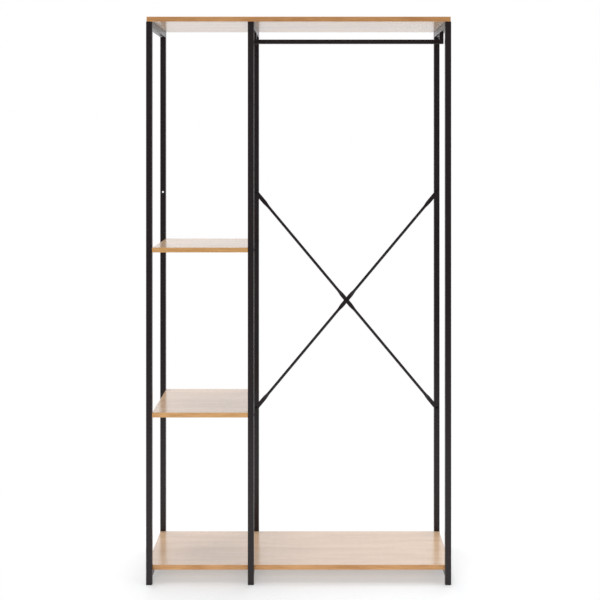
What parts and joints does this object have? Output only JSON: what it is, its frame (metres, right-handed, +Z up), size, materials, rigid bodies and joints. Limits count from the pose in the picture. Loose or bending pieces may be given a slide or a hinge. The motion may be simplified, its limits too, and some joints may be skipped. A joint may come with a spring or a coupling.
{
  "type": "coat stand with shelves",
  "caption": "Free-standing coat stand of black square steel tube with wood-effect boards, a hanging rail in the wide bay, shelves in the narrow bay and crossed braces at the back.",
  "frame": {"origin": "on the floor, under the middle of the stand", "axes": "+X to the right seen from the front, +Y to the back, +Z up"},
  "size_m": [1.002, 0.4, 1.866],
  "materials": {
    "frame_coating": "satin black powder coat",
    "rail_coating": "satin black powder coat",
    "brace_coating": "satin black powder coat",
    "board_laminate": "semi-gloss light oak laminate, grain along the length",
    "edge_band": "smooth edge band in a warmer oak",
    "foot_plastic": "moulded black plastic",
    "bolt_black": "black oxide",
    "screw_zinc": "zinc plated",
    "insert_zinc": "yellow zinc plated"
  },
  "bodies": {
    "root": {"bottom_board": "board_laminate", "bottom_board_band": "edge_band", "bottom_board_screws": "screw_zinc", "brace_centre_bolt": "bolt_black", "brace_centre_nut": "bolt_black", "brace_end_bolts": "bolt_black", "brace_end_nuts": "bolt_black", "falling_brace": "brace_coating", "left_front_foot": "foot_plastic", "left_front_post": "frame_coating", "left_lower_tube": "frame_coating", "left_rail_riser": "rail_coating", "left_rear_foot": "foot_plastic", "left_rear_post": "frame_coating", "left_shelf_bolts": "bolt_black", "left_upper_tube": "frame_coating", "lower_shelf": "board_laminate", "lower_shelf_band": "edge_band", "middle_front_foot": "foot_plastic", "middle_front_post": "frame_coating", "middle_lower_tube": "frame_coating", "middle_rear_foot": "foot_plastic", "middle_rear_post": "frame_coating", "middle_shelf_bolts": "bolt_black", "middle_upper_tube": "frame_coating", "rail_bar": "rail_coating", "rail_bolts": "bolt_black", "rail_plugs": "rail_coating", "right_front_foot": "foot_plastic", "right_front_post": "frame_coating", "right_lower_tube": "frame_coating", "right_rail_riser": "rail_coating", "right_rear_foot": "foot_plastic", "right_rear_post": "frame_coating", "right_upper_tube": "frame_coating", "rising_brace": "brace_coating", "shelf_inserts": "insert_zinc", "top_board": "board_laminate", "top_board_band": "edge_band", "top_board_screws": "screw_zinc", "upper_shelf": "board_laminate", "upper_shelf_band": "edge_band"}
  },
  "joints": []
}
